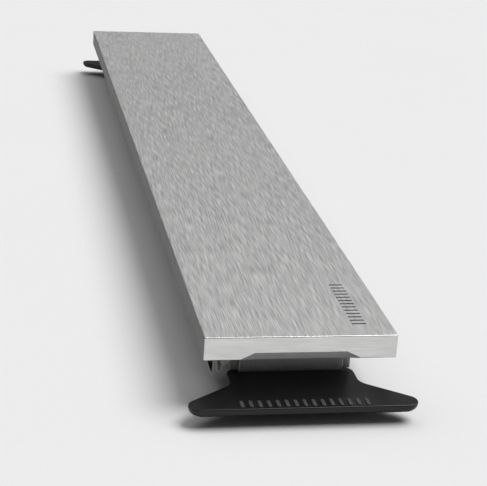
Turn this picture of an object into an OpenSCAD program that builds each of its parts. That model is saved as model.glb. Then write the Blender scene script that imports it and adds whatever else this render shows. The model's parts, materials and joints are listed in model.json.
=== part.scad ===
// Cover panel for a linear floor drain: a solid bar on an inverted channel rail, with a fishtail foot at
// each end on a slider that runs in the rail, standing on two screw-adjusted glides. +X across, +Y along,
// +Z up. The origin is on the floor under the middle of the whole, from the outer edge of one foot to that
// of the other.

/* [Panel] */
// Length of the cover panel
panel_l = 350; // [260:10:1200]
// Width of the cover panel
panel_w = 50; // [42:1:80]
// Thickness of the cover panel
panel_t = 6.3; // [4:0.1:12]
// Chamfer along every edge of the panel
panel_chamfer = 0.3; // [0.1:0.1:0.8]
// Width of the slant that eases the lower edge of each end over the foot's neck
ease_w = 32; // [20:1:36]
// Height of that slant
ease_h = 2; // [0.5:0.1:3]
// Depth of that slant
ease_depth = 0.6; // [0.2:0.1:1.2]

/* [Rail] */
// Outer width of the rail
rail_w = 32; // [30:1:40]
// Height of the rail
rail_h = 7.8; // [6.5:0.1:14]
// Sheet thickness of the rail
rail_wall = 2; // [1:0.1:2.5]
// Outer radius of the rail's folds
rail_fold_r = 1.2; // [0.5:0.1:2]
// Distance from the panel's end to the rail's end
rail_setback = 11; // [4:0.5:20]

/* [Foot] */
// Width of the foot's outer edge
foot_w = 59; // [52:0.2:80]
// Distance that a foot stands out past the panel's end when it is pushed in
foot_overhang = 2.4; // [1:0.2:12]
// Thickness of the foot's plate
plate_t = 2.4; // [2:0.1:4]
// Height of the plate's underside above the floor
foot_lift = 2.9; // [2.6:0.1:6]
// Distance that the foot's neck stands out past the rail on each side
neck_margin = 1; // [0.5:0.1:3]
// Angle of the wing's rear edge from the outer edge
wing_angle = 37.5; // [25:0.5:55]
// Radius of the wing's tips
tip_r = 3; // [1:0.1:4]
// Radius between the wing and the neck
wing_fillet_r = 4; // [1:0.5:6]
// Radius of the neck's rear corners
neck_corner_r = 3; // [1:0.5:5]
// Distance from the rail's end to the neck's rear edge when the foot is pushed in
neck_overlap = 9.9; // [8:0.1:14]
// Distance from the neck's rear edge to the slider's front face
neck_step = 2.9; // [1:0.1:5]
// Length of the saddle that ramps up to the slider
saddle_l = 11; // [6:0.5:16]
// Height that the saddle rises above the plate
saddle_rise = 0.5; // [0.2:0.1:0.5]
// Distance that a foot can slide out
foot_travel = 10; // [8:0.5:12]
// Distance that the front foot is slid out
front_out = 8; // [0:0.5:8]
// Distance that the rear foot is slid out
rear_out = 0; // [0:0.5:8]

/* [Slider] */
// Wall of the slider behind the clamp's recess
slider_end_wall = 5; // [4:0.5:12]
// Diameter of the rivets that hold the foot's sole to the slider
sole_rivet_d = 2.4; // [2:0.2:3]
// Depth of those rivets in the slider
sole_rivet_l = 4; // [3:0.5:5]

/* [Grip ribs] */
// Number of ribs on the foot
rib_count = 15; // [5:1:19]
// Width of one rib
rib_w = 1; // [0.6:0.1:1.4]
// Length of one rib
rib_l = 3.4; // [2:0.1:5]
// Height of one rib
rib_h = 0.3; // [0.2:0.1:0.6]
// Distance from one rib to the next
rib_pitch = 2.3; // [2:0.1:2.6]
// Distance from the foot's outer edge to the ribs
rib_inset = 0.8; // [0.4:0.1:2]

/* [Glides] */
// Wall between a hexagon's recess and the slider's side
glide_wall = 1.1; // [0.8:0.1:1.6]
// Distance from the slider's front face to the glides
glide_setback = 7; // [6:0.5:8]
// Outer diameter of the levelling screw's thread
level_d = 5; // [4:0.5:5]
// Pitch of the levelling screw's thread
level_pitch = 0.8; // [0.5:0.1:1]
// Distance across the flats of the levelling screw's hexagon
level_hex = 7; // [6:0.5:7]
// Height of the levelling screw's hexagon
level_hex_h = 1.8; // [1.5:0.1:2.4]
// Wall of the threaded insert outside the thread
insert_wall = 0.7; // [0.5:0.1:1]
// Thickness of the slider left over the threaded insert
insert_skin = 0.4; // [0.3:0.1:1]
// Diameter of the glide
glide_d = 11; // [9:0.5:11.4]
// Height of the glide with its rubber
glide_h = 2.5; // [2.2:0.1:2.6]
// Diameter of the pin that turns in the glide
glide_pin_d = 3.8; // [3:0.1:4.5]
// Thickness of the rubber disc
rubber_t = 0.8; // [0.6:0.1:1]

/* [Clamp] */
// Thread diameter of the clamp stud
clamp_d = 5; // [4:0.5:5]
// Distance from the glides to the clamp stud
clamp_setback = 11.5; // [11.5:0.5:16]
// Distance across the flats of the clamp nut
clamp_nut_af = 8; // [7:0.5:8]
// Height of the clamp nut
clamp_nut_h = 4; // [2.5:0.1:4]
// Diameter of the clamp washer
clamp_washer_d = 10; // [8.5:0.5:10]
// Thickness of the clamp washer
clamp_washer_t = 1; // [0.5:0.1:1.2]
// Thickness of the slider's top that the washer clamps
clamp_floor_t = 2.9; // [2:0.1:3.5]

/* [Rail studs] */
// Number of studs that hold the rail between the feet
rail_stud_count = 3; // [2:1:9]
// Thread diameter of the rail studs
rail_stud_d = 4; // [3:0.5:5]
// Distance across the flats of the rail nuts
rail_nut_af = 7; // [5.5:0.5:8]
// Height of the rail nuts
rail_nut_h = 3.2; // [2:0.1:4]
// Diameter of the rail washers
rail_washer_d = 9; // [8:0.5:11]
// Thickness of the rail washers
rail_washer_t = 0.8; // [0.5:0.1:1.2]

/* [Side spring] */
// Thickness of the spring strip
spring_t = 0.5; // [0.3:0.1:0.6]
// Length of the spring along the rail
spring_l = 8; // [6:0.5:12]
// Distance from the rail's end to the spring
spring_setback = 2.4; // [2:0.1:10]
// Distance that the spring stands out from the rail
spring_reach = 7; // [5:0.5:8]
// Height of the spring's lowest bend above the floor
spring_low = 3.4; // [2:0.1:4]
// Diameter of the spring's rivets
rivet_d = 2.4; // [1.6:0.1:3]

/* [Clearances] */
// Gap between the rail and the slider on each side and above it
slider_gap = 0.2; // [0.1:0.05:0.4]
// Gap between the rail's lower edge and the foot's plate
rail_gap = 0.6; // [0.5:0.1:1]
// Radial clearance of the levelling screw in its insert and of its pin in the glide
turn_gap = 0.05; // [0.02:0.01:0.1]
// Radial clearance of a stud in its hole and in its slot
stud_gap = 0.2; // [0.1:0.05:0.5]
// Gap between the clamp washer and the slider
clamp_gap = 0.1; // [0.05:0.05:0.3]
// Clearance round a hexagon or a washer in its recess
recess_gap = 0.5; // [0.3:0.1:0.6]

/* [Hidden] */
$fn = 64;

// Heights above the floor
plate_top = foot_lift + plate_t;
rail_z = plate_top + rail_gap;
panel_z = rail_z + rail_h;
web_z = panel_z - rail_wall;

// The panel's middle is off the origin when the feet are slid out unequally
panel_y = (front_out - rear_out) / 2;

// Foot when it is pushed in, measured from the panel's end towards its middle
slider_w = rail_w - 2 * (rail_wall + slider_gap);
neck_w = rail_w + 2 * neck_margin;
slider_top = web_z - slider_gap;
neck_end = rail_setback + neck_overlap;
slider_front = neck_end - neck_step;

// Glides
glide_y = slider_front + glide_setback;
hex_z = glide_h + 0.2;
hex_top = hex_z + level_hex_h;
insert_z = hex_top + recess_gap;
insert_top = slider_top - insert_skin;
insert_l = insert_top - insert_z;
insert_d = level_d + 2 * (insert_wall + turn_gap);
hex_recess_r = hex_r(level_hex) + recess_gap;
glide_x = max(slider_w / 2 - glide_wall - hex_recess_r, glide_d / 2 + recess_gap);
screw_top = insert_top - 0.3;
pin_depth = 1.2;

// Clamp
clamp_y = glide_y + clamp_setback;
washer_top = slider_top - clamp_floor_t - clamp_gap;
nut_top = washer_top - clamp_washer_t;
stud_end = nut_top - clamp_nut_h - 0.4;
recess_w = clamp_washer_d + 2 * recess_gap;
pocket_wall = 1.4;
recess_start = clamp_y - recess_w / 2;
recess_l = recess_w + foot_travel;
slider_end = recess_start + recess_l + slider_end_wall;

// Rail studs
rail_studs_l = panel_l - 2 * (slider_end + 28);
rail_stud_tail = 1;
rail_nut_z = web_z - rail_washer_t - rail_nut_h;

// Side spring
spring_y = rail_setback + spring_setback;
leaf_top = web_z - 0.4;
leaf_end = rail_z + 1.1;
rivet_z = (leaf_top + leaf_end) / 2;

function hex_r(af) = af / 2 / cos(30);
function arc(x, y, r, from, to, steps = 12) =
    [for (i = [0:steps]) let (a = from + (to - from) * i / steps) [x + r * cos(a), y + r * sin(a)]];
function flip(points) = [for (i = [len(points) - 1:-1:0]) [-points[i][0], points[i][1]]];

// Puts a piece at the front end of the panel, or turns it to the rear end
module at_end(rear) {
    translate([0, panel_y, 0]) rotate([0, 0, rear ? 180 : 0]) translate([0, -panel_l / 2, 0]) children();
}

// The same for a piece of the foot, slid out as far as the foot is
module on_foot(rear) {
    at_end(rear) translate([0, rear ? -rear_out : -front_out, 0]) children();
}

module chamfered(width, height) {
    c = panel_chamfer;
    polygon([
        [-width / 2 + c, 0], [width / 2 - c, 0], [width / 2, c], [width / 2, height - c],
        [width / 2 - c, height], [-width / 2 + c, height], [-width / 2, height - c], [-width / 2, c]
    ]);
}

// The slant under the panel's end, drawn past the panel where it is cut away
module end_ease() {
    slope = ease_depth / ease_h;
    translate([-ease_w / 2, 0, panel_z]) rotate([90, 0, 90]) linear_extrude(ease_w)
        polygon([[0, ease_h], [ease_depth + slope, -1], [-1, -1], [-1, ease_h]]);
}

module top_panel() {
    color("silver") difference() {
        translate([0, panel_y, panel_z]) intersection() {
            rotate([90, 0, 0]) translate([0, 0, -panel_l / 2]) linear_extrude(panel_l)
                chamfered(panel_w, panel_t);
            rotate([90, 0, 90]) translate([0, 0, -panel_w / 2]) linear_extrude(panel_w)
                chamfered(panel_l, panel_t);
        }
        for (rear = [false, true]) at_end(rear) end_ease();
    }
}

module folded(width, height, r) {
    polygon(concat(
        [[-width / 2, 0], [width / 2, 0]],
        arc(width / 2 - r, height - r, r, 0, 90, 8),
        arc(-width / 2 + r, height - r, r, 90, 180, 8)
    ));
}

module rail() {
    inner_r = max(rail_fold_r - rail_wall, 0.3);
    rail_l = panel_l - 2 * rail_setback;
    color("lightgray") difference() {
        translate([0, panel_y + rail_l / 2, rail_z]) rotate([90, 0, 0]) linear_extrude(rail_l) difference() {
            folded(rail_w, rail_h, rail_fold_r);
            translate([0, -1]) folded(rail_w - 2 * rail_wall, rail_h - rail_wall + 1, inner_r);
        }
        rail_stud_places() cylinder(h = panel_z, d = rail_stud_d + 2 * stud_gap);
        for (rear = [false, true])
            at_end(rear) translate([0, clamp_y, 0]) cylinder(h = panel_z, d = clamp_d + 2 * stud_gap);
        for (rear = [false, true]) at_end(rear) rivet_places()
            cylinder(h = rail_wall * 3, d = rivet_d, center = true);
    }
}

module rail_stud_places() {
    pitch = rail_studs_l / (rail_stud_count - 1);
    for (i = [0:rail_stud_count - 1]) translate([0, panel_y + i * pitch - rail_studs_l / 2, 0]) children();
}

module washer(outer, thread, height) {
    difference() {
        cylinder(h = height, d = outer);
        translate([0, 0, -1]) cylinder(h = height + 2, d = thread + 2 * stud_gap);
    }
}

module nut(flats, thread, height) {
    difference() {
        cylinder(h = height, r = hex_r(flats), $fn = 6);
        translate([0, 0, -1]) cylinder(h = height + 2, d = thread);
    }
}

module rail_studs() {
    low = rail_nut_z - rail_stud_tail;
    color("silver") rail_stud_places() translate([0, 0, low]) cylinder(h = panel_z - low, d = rail_stud_d);
}

module rail_washers() {
    color("silver") rail_stud_places() translate([0, 0, web_z - rail_washer_t])
        washer(rail_washer_d, rail_stud_d, rail_washer_t);
}

module rail_nuts() {
    color("silver") rail_stud_places() translate([0, 0, rail_nut_z])
        nut(rail_nut_af, rail_stud_d, rail_nut_h);
}

module clamp_stud(rear) {
    color("silver") at_end(rear) translate([0, clamp_y, stud_end])
        cylinder(h = panel_z - stud_end, d = clamp_d);
}

module clamp_washer(rear) {
    color("silver") at_end(rear) translate([0, clamp_y, nut_top])
        washer(clamp_washer_d, clamp_d, clamp_washer_t);
}

module clamp_nut(rear) {
    color("silver") at_end(rear) translate([0, clamp_y, nut_top - clamp_nut_h])
        nut(clamp_nut_af, clamp_d, clamp_nut_h);
}

// The strip's middle line: down the rail's side, out past the neck and under it, up to a crest, down again
// and out to a free lip
function spring_path() = let (
    side = -rail_w / 2 - spring_t / 2,
    clear = -neck_w / 2 - spring_t / 2 - rail_gap,
    low = spring_low + spring_t / 2,
    crest = [clear - 1.7, rail_z + 2.9],
    trough = [clear - 2.3, low],
    lip = [-rail_w / 2 - spring_reach + spring_t / 2, panel_z - 2.6]
) [
    [side, leaf_top], [side, leaf_end], [side - 0.5, leaf_end - 0.5], [clear, rail_z + 0.2],
    [clear, low + 0.9], [clear - 0.5, low + 0.4], [clear - 1.1, low + 0.9],
    crest, [crest[0] - 0.3, crest[1]], trough,
    [trough[0] - 0.4, trough[1]], [lip[0], lip[1] - 1.4], lip, [lip[0] + 0.7, lip[1] + 1]
];

module strip(points) {
    for (i = [0:len(points) - 2]) let (a = points[i], b = points[i + 1], run = b - a)
        translate(a) rotate(atan2(run[1], run[0])) translate([0, -spring_t / 2])
            square([norm(run), spring_t]);
    for (i = [1:len(points) - 2]) translate(points[i]) circle(d = spring_t, $fn = 24);
}

module rivet_places() {
    for (y = [spring_l / 4, spring_l * 3 / 4])
        translate([-rail_w / 2, spring_y + y, rivet_z]) rotate([0, 90, 0]) children();
}

module side_spring(rear) {
    color("gainsboro") at_end(rear) difference() {
        translate([0, spring_y + spring_l, 0]) rotate([90, 0, 0]) linear_extrude(spring_l)
            strip(spring_path());
        rivet_places() cylinder(h = rail_wall * 3, d = rivet_d, center = true);
    }
}

module spring_rivets(rear) {
    head_d = leaf_top - leaf_end - 0.5;
    head_h = 0.5;
    color("silver") at_end(rear) rivet_places() {
        translate([0, 0, -spring_t]) cylinder(h = spring_t + rail_wall, d = rivet_d);
        translate([0, 0, -spring_t - head_h]) cylinder(h = head_h, d = head_d);
    }
}

// Right half of the foot's plate, from the middle of the outer edge round to the neck's rear edge
function plate_half() = let (
    tip = [foot_w / 2 - tip_r, tip_r - foot_overhang],
    lean = 90 - wing_angle,
    edge = tip + tip_r * [cos(lean), sin(lean)],
    side = neck_w / 2,
    f = wing_fillet_r,
    fillet_x = side + f,
    // Centre of the fillet: one radius outside both the wing's rear edge and the neck's side
    fillet_y = edge[1] + (f - (fillet_x - edge[0]) * cos(lean)) / sin(lean)
) concat(
    arc(tip[0], tip[1], tip_r, -90, lean, 14),
    arc(fillet_x, fillet_y, f, 180 + lean, 180, 8),
    arc(side - neck_corner_r, neck_end - neck_corner_r, neck_corner_r, 0, 90, 8)
);

module plate() {
    translate([0, 0, foot_lift]) linear_extrude(plate_t) polygon(concat(plate_half(), flip(plate_half())));
}

module ribs() {
    first = -rib_pitch * (rib_count - 1) / 2;
    for (i = [0:rib_count - 1])
        translate([first + i * rib_pitch - rib_w / 2, rib_inset - foot_overhang, plate_top - 0.1])
            cube([rib_w, rib_l, rib_h + 0.1]);
}

module saddle() {
    start = slider_front - saddle_l;
    translate([-slider_w / 2, 0, 0]) rotate([90, 0, 90]) linear_extrude(slider_w) polygon([
        [start, plate_top - 0.1], [slider_front, plate_top - 0.1], [slider_front, plate_top + saddle_rise],
        [start, plate_top]
    ]);
}

// The slider's outline from one height to another, as a block or as the sole under it
module tongue(low, high) {
    lead = 0.8;
    half = slider_w / 2;
    translate([0, 0, low]) linear_extrude(high - low) polygon([
        [-half, slider_front], [half, slider_front], [half, slider_end - lead], [half - lead, slider_end],
        [lead - half, slider_end], [-half, slider_end - lead]
    ]);
}

module sole_rivet_places() {
    translate([0, glide_y, 0]) children();
    for (side = [-1, 1]) translate([side * slider_w / 4, slider_end - slider_end_wall / 2, 0]) children();
}

module sole_rivet_holes() {
    sole_rivet_places() cylinder(h = plate_top + sole_rivet_l, d = sole_rivet_d);
}

// Slot for the clamp stud and the recess under it for the washer and the nut
module clamp_cuts() {
    slot_w = clamp_d + 2 * stud_gap;
    for (y = [0, foot_travel]) translate([0, clamp_y + y, foot_lift]) cylinder(h = panel_z, d = slot_w);
    translate([-slot_w / 2, clamp_y, foot_lift]) cube([slot_w, foot_travel, panel_z]);
    translate([-recess_w / 2, recess_start, foot_lift - 1])
        cube([recess_w, recess_l, slider_top - clamp_floor_t - foot_lift + 1]);
}

// Cored pockets beside the recess keep the walls even
module core_pockets() {
    inner = recess_w / 2 + pocket_wall;
    outer = slider_w / 2 - pocket_wall;
    for (side = [-1, 1])
        translate([side > 0 ? inner : -outer, recess_start, foot_lift - 1])
            cube([outer - inner, recess_l, slider_top - pocket_wall - foot_lift + 1]);
}

module glide_place(side) {
    translate([side * glide_x, glide_y, 0]) children();
}

module glide_cuts() {
    for (side = [-1, 1]) glide_place(side) {
        translate([0, 0, foot_lift - 1]) cylinder(h = insert_z - foot_lift + 1, r = hex_recess_r);
        cylinder(h = insert_top, d = insert_d);
    }
}

module foot(rear) {
    color("dimgray") on_foot(rear) difference() {
        union() {
            plate();
            ribs();
            saddle();
            tongue(foot_lift, plate_top);
        }
        clamp_cuts();
        core_pockets();
        glide_cuts();
        sole_rivet_holes();
    }
}

module slider(rear) {
    color("darkgray") on_foot(rear) difference() {
        tongue(plate_top, slider_top);
        clamp_cuts();
        core_pockets();
        glide_cuts();
        sole_rivet_holes();
    }
}

module sole_rivets(rear) {
    head_h = 0.6;
    color("silver") on_foot(rear) sole_rivet_places() {
        translate([0, 0, foot_lift]) cylinder(h = plate_t + sole_rivet_l, d = sole_rivet_d);
        translate([0, 0, foot_lift - head_h]) cylinder(h = head_h, d = sole_rivet_d + 1.4);
    }
}

module insert(rear, side) {
    color("goldenrod") on_foot(rear) glide_place(side) translate([0, 0, insert_z]) difference() {
        cylinder(h = insert_l, d = insert_d);
        translate([0, 0, -1]) cylinder(h = insert_l + 2, d = level_d + 2 * turn_gap);
    }
}

module level_screw(rear, side) {
    color("silver") on_foot(rear) glide_place(side) {
        translate([0, 0, hex_z - 0.1]) cylinder(h = screw_top - hex_z + 0.1, d = level_d);
        translate([0, 0, hex_z]) cylinder(h = level_hex_h, r = hex_r(level_hex), $fn = 6);
        translate([0, 0, glide_h - pin_depth]) cylinder(h = pin_depth + 0.3, d = glide_pin_d);
    }
}

module glide(rear, side) {
    rim = 0.4;
    color("black") on_foot(rear) glide_place(side) difference() {
        rotate_extrude() polygon([
            [0, rubber_t], [glide_d / 2, rubber_t], [glide_d / 2, glide_h - rim],
            [glide_d / 2 - rim, glide_h], [0, glide_h]
        ]);
        translate([0, 0, glide_h - pin_depth - 0.1])
            cylinder(h = pin_depth + 1, d = glide_pin_d + 2 * turn_gap);
    }
}

module rubber(rear, side) {
    color("darkslategray") on_foot(rear) glide_place(side) cylinder(h = rubber_t, d = glide_d - 0.6);
}

top_panel();
rail();
rail_studs();
rail_washers();
rail_nuts();
clamp_stud(false);  // front_clamp_stud
clamp_washer(false);  // front_clamp_washer
clamp_nut(false);  // front_clamp_nut
clamp_stud(true);  // rear_clamp_stud
clamp_washer(true);  // rear_clamp_washer
clamp_nut(true);  // rear_clamp_nut
side_spring(false);  // front_side_spring
spring_rivets(false);  // front_spring_rivets
side_spring(true);  // rear_side_spring
spring_rivets(true);  // rear_spring_rivets
foot(false);  // front_foot
slider(false);  // front_slider
sole_rivets(false);  // front_sole_rivets
insert(false, -1);  // front_left_insert
insert(false, 1);  // front_right_insert
foot(true);  // rear_foot
slider(true);  // rear_slider
sole_rivets(true);  // rear_sole_rivets
insert(true, 1);  // rear_left_insert
insert(true, -1);  // rear_right_insert
level_screw(false, -1);  // front_left_screw
level_screw(false, 1);  // front_right_screw
level_screw(true, 1);  // rear_left_screw
level_screw(true, -1);  // rear_right_screw
glide(false, -1);  // front_left_glide
glide(false, 1);  // front_right_glide
glide(true, 1);  // rear_left_glide
glide(true, -1);  // rear_right_glide
rubber(false, -1);  // front_left_rubber
rubber(false, 1);  // front_right_rubber
rubber(true, 1);  // rear_left_rubber
rubber(true, -1);  // rear_right_rubber
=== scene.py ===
import json
import math

import bmesh
import bpy
from mathutils import Matrix, Vector


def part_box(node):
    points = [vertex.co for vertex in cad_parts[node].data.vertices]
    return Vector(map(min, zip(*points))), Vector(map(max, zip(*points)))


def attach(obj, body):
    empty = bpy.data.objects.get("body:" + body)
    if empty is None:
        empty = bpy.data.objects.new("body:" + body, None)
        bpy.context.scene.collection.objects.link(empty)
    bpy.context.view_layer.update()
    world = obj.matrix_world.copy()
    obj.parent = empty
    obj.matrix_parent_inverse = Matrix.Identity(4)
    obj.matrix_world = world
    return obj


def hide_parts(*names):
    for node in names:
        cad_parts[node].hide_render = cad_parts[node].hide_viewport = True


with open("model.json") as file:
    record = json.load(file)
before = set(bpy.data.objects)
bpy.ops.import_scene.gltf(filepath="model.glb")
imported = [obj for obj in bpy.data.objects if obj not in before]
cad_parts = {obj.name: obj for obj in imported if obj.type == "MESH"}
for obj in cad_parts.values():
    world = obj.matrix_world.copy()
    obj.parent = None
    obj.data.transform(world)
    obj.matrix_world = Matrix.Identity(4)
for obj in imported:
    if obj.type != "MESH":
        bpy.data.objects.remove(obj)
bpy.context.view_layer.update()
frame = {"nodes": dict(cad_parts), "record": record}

mm = 0.001
inMetres = Matrix.Scale(mm, 4)
halfTurn = Matrix.Rotation(math.pi, 4, "Z")
ends = ("front", "rear")
sides = ("left", "right")


def sizeOf(node):  # a node's size in mm
    low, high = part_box(node)
    return (high - low) / mm


def middleOf(node, z=None):  # the middle of a node, or of its footprint at the height z in mm
    low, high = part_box(node)
    middle = (low + high) / 2
    return Vector((middle.x, middle.y, middle.z if z is None else z * mm))


def visualName(*words):  # ("front", "left_glide") -> frontLeftGlide
    words = "_".join(words).split("_")
    return words[0] + "".join(word.capitalize() for word in words[1:])


def linear(hexColor):  # sRGB hex to linear RGBA
    channels = [int(hexColor[i:i + 2], 16) / 255 for i in (1, 3, 5)]
    return [c / 12.92 if c <= 0.04045 else ((c + 0.055) / 1.055) ** 2.4 for c in channels] + [1.0]


def addNode(tree, kind, settings=None, links=None):
    # settings holds the node's own properties and its inputs by name or number;
    # links holds the sockets that feed its inputs
    node = tree.nodes.new(kind)
    for key, value in (settings or {}).items():
        if isinstance(key, str) and hasattr(node, key):
            setattr(node, key, value)
        else:
            node.inputs[key].default_value = value
    for key, socket in (links or {}).items():
        tree.links.new(socket, node.inputs[key])
    return node


def finish(name, look):
    # Two layers on Object coordinates: the grain that the process leaves, and a slow drift over the piece.
    # Sizes are in mm, one for each axis.
    material = bpy.data.materials.new(name)
    material.use_nodes = True
    tree = material.node_tree
    tree.nodes.clear()
    shader = addNode(tree, "ShaderNodeBsdfPrincipled", {"Metallic": look.get("metallic", 0.0)})
    for socket, value in look.get("shader", {}).items():
        shader.inputs[socket].default_value = value
    output = addNode(tree, "ShaderNodeOutputMaterial", links={"Surface": shader.outputs["BSDF"]})
    place = addNode(tree, "ShaderNodeTexCoord").outputs["Object"]
    layers = {}
    for layer in ("grain", "drift"):
        spread = addNode(tree, "ShaderNodeMapping",
                         {"Scale": [1 / (size * mm) for size in look[layer]]}, {"Vector": place})
        layers[layer] = addNode(tree, "ShaderNodeTexNoise",
                                {"Scale": 1.0, "Detail": look.get(layer + "Detail", 2.0), "Roughness": 0.6},
                                {"Vector": spread.outputs["Vector"]}).outputs["Fac"]
    weight = look.get("driftShare", 0.35)
    blend = addNode(tree, "ShaderNodeMix", {"data_type": "FLOAT", 0: weight},
                    {2: layers["grain"], 3: layers["drift"]}).outputs[0]
    reach = look.get("contrast", 0.5) / 2
    level = addNode(tree, "ShaderNodeMapRange", {"From Min": 0.5 - reach, "From Max": 0.5 + reach},
                    {"Value": blend}).outputs["Result"]
    tones = {"data_type": "RGBA", 6: linear(look["dark"]), 7: linear(look["light"])}
    tone = addNode(tree, "ShaderNodeMix", tones, {0: level}).outputs[2]
    tree.links.new(tone, shader.inputs["Base Color"])
    rough = addNode(tree, "ShaderNodeMapRange", {"To Min": look["rough"][0], "To Max": look["rough"][1]},
                    {"Value": level}).outputs["Result"]
    tree.links.new(rough, shader.inputs["Roughness"])
    bump = addNode(tree, "ShaderNodeBump", {"Strength": 1.0, "Distance": look["bump"] * mm},
                   {"Height": layers["grain"]})
    tree.links.new(bump.outputs["Normal"], shader.inputs["Normal"])
    return material


# Stainless bar, belt-ground along its length at about 240 grit: soft streaks that stretch every reflection.
# The real lines are about 0.05 mm apart, and are drawn 0.3 mm apart so that they show.
brushedStainless = finish("brushedStainless", {
    "metallic": 1.0, "dark": "#BABABA", "light": "#D8D8D7", "rough": (0.42, 0.5), "bump": 0.001,
    "grain": (0.13, 8.0, 0.13), "grainDetail": 0.0, "drift": (9.0, 160.0, 9.0), "driftShare": 0.1,
    "contrast": 0.22})

# The slants under the bar's ends, milled: even and dull, dark where they mirror the foot.
milledStainless = finish("milledStainless", {
    "metallic": 1.0, "dark": "#C2C2C1", "light": "#DADAD8", "rough": (0.45, 0.55), "bump": 0.001,
    "grain": (0.3, 0.3, 0.3), "drift": (4.0, 4.0, 4.0)})

# The bar's long sides, slit from plate and only deburred: duller than the top, and painted a darker grey as
# shade, for the shadowed floor that they mirror.
shadedSideStainless = finish("shadedSideStainless", {
    "metallic": 1.0, "dark": "#6A6A69", "light": "#828281", "rough": (0.55, 0.65), "bump": 0.003,
    "grain": (0.3, 4.0, 0.3), "drift": (9.0, 60.0, 9.0)})

# The bar's ends, sawn and then linished across: shinier than the top, with faint level lines, and painted a
# lighter tone than the top as light, where they mirror the bright floor in front.
linishedEndPaintedLight = finish("linishedEndPaintedLight", {
    "metallic": 1.0, "dark": "#C4C4C3", "light": "#E4E4E2", "rough": (0.16, 0.22), "bump": 0.0006,
    "grain": (6.0, 0.35, 0.3), "drift": (14.0, 7.0, 3.0), "driftShare": 0.55})

# Laser-marked stainless: a dull dark oxide that is a little uneven.
markedStainless = finish("markedStainless", {
    "metallic": 0.3, "dark": "#343435", "light": "#464647", "rough": (0.6, 0.75), "bump": 0.002,
    "grain": (0.2, 0.2, 0.2), "drift": (2.0, 2.0, 2.0)})

# Cold-rolled stainless sheet, folded: duller than the bar, with a slight cloudiness from the rolls.
coldRolledStainless = finish("coldRolledStainless", {
    "metallic": 1.0, "dark": "#B9B9B8", "light": "#CBCBC9", "rough": (0.3, 0.42), "bump": 0.002,
    "grain": (0.5, 1.2, 0.5), "drift": (14.0, 30.0, 14.0), "driftShare": 0.6})

# Cold-headed and turned A2 stainless: bright, with small changes of gloss from the tooling.
turnedStainless = finish("turnedStainless", {
    "metallic": 1.0, "dark": "#BDBDBC", "light": "#D6D6D4", "rough": (0.16, 0.3), "bump": 0.002,
    "grain": (0.4, 0.4, 0.15), "drift": (3.0, 3.0, 3.0)})

# Bright rolled spring strip: fine lines along the strip and a sharp glint at every bend.
rolledSpringSteel = finish("rolledSpringSteel", {
    "metallic": 1.0, "dark": "#DCDCDA", "light": "#F4F4F2", "rough": (0.12, 0.22), "bump": 0.001,
    "grain": (1.5, 0.2, 1.5), "drift": (5.0, 5.0, 5.0)})

# Black glass-filled nylon, moulded in a spark-eroded tool: satin, with a fine pebble and faint grey fibres.
# The real pebble is about 0.1 mm, and is drawn 0.3 mm so that it shows.
mouldedNylon = finish("mouldedNylon", {
    "dark": "#060607", "light": "#0E0E0F", "rough": (0.3, 0.4), "bump": 0.004,
    "grain": (0.3, 0.3, 0.3), "grainDetail": 3.0, "drift": (6.0, 6.0, 6.0),
    "shader": {"IOR": 1.53, "Specular IOR Level": 0.38}})

# Die-cast aluminium, tumbled: mid-grey and evenly dull, with faint upright draw lines from the die.
tumbledAluminium = finish("tumbledAluminium", {
    "metallic": 1.0, "dark": "#A2A3A5", "light": "#BBBCBE", "rough": (0.42, 0.56), "bump": 0.006,
    "grain": (0.5, 0.5, 4.0), "drift": (5.0, 5.0, 5.0)})

# The grip ribs' nylon, paler than the plate, so the ribs read as light bars.
paleRibNylon = finish("paleRibNylon", {
    "dark": "#38383A", "light": "#4A4A4B", "rough": (0.4, 0.5), "bump": 0.004,
    "grain": (0.3, 0.3, 0.3), "drift": (4.0, 4.0, 4.0), "shader": {"IOR": 1.53}})

# The cut edges of the spring strip: a painted highlight, pale and partly diffuse, so they read as thin light
# lines.
springEdgeHighlight = finish("springEdgeHighlight", {
    "metallic": 0.45, "dark": "#E6E6E4", "light": "#FAFAF8", "rough": (0.3, 0.45), "bump": 0.002,
    "grain": (0.2, 0.2, 0.2), "drift": (2.0, 2.0, 2.0)})

# Turned brass, slightly dulled in the air.
turnedBrass = finish("turnedBrass", {
    "metallic": 1.0, "dark": "#B08A45", "light": "#D3AE62", "rough": (0.22, 0.36), "bump": 0.002,
    "grain": (0.4, 0.4, 0.15), "drift": (2.0, 2.0, 2.0)})

# Dark moulded acetal: smooth and slightly waxy.
mouldedAcetal = finish("mouldedAcetal", {
    "dark": "#2C2C2E", "light": "#38383A", "rough": (0.28, 0.38), "bump": 0.004,
    "grain": (0.8, 0.8, 0.8), "drift": (4.0, 4.0, 4.0), "shader": {"IOR": 1.48}})

# Moulded rubber: fully matt, with a dry grey bloom.
mouldedRubber = finish("mouldedRubber", {
    "dark": "#1E1E1E", "light": "#2B2B2A", "rough": (0.75, 0.9), "bump": 0.01,
    "grain": (0.25, 0.25, 0.25), "drift": (3.0, 3.0, 3.0), "shader": {"IOR": 1.52}})

finishOf = {
    "brushed_panel": brushedStainless, "channel_steel": coldRolledStainless, "fixing_steel": turnedStainless,
    "spring_strip": rolledSpringSteel, "foot_nylon": mouldedNylon, "insert_brass": turnedBrass,
    "glide_acetal": mouldedAcetal, "grip_rubber": mouldedRubber, "slider_alloy": tumbledAluminium}
slotOf = {part["node"]: part["material_slot"] for part in frame["record"]["subparts"]}
bodyOf = {node: body for body, nodes in frame["record"]["behaviour"]["bodies"].items() for node in nodes}
print("finishes:", len(bpy.data.materials))


def meshOf(bm, name="part"):
    mesh = bpy.data.meshes.new(name)
    bm.normal_update()
    bm.to_mesh(mesh)
    bm.free()
    return mesh


def shown(name, mesh):
    piece = bpy.data.objects.new(name, mesh)
    bpy.context.scene.collection.objects.link(piece)
    return piece


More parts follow.
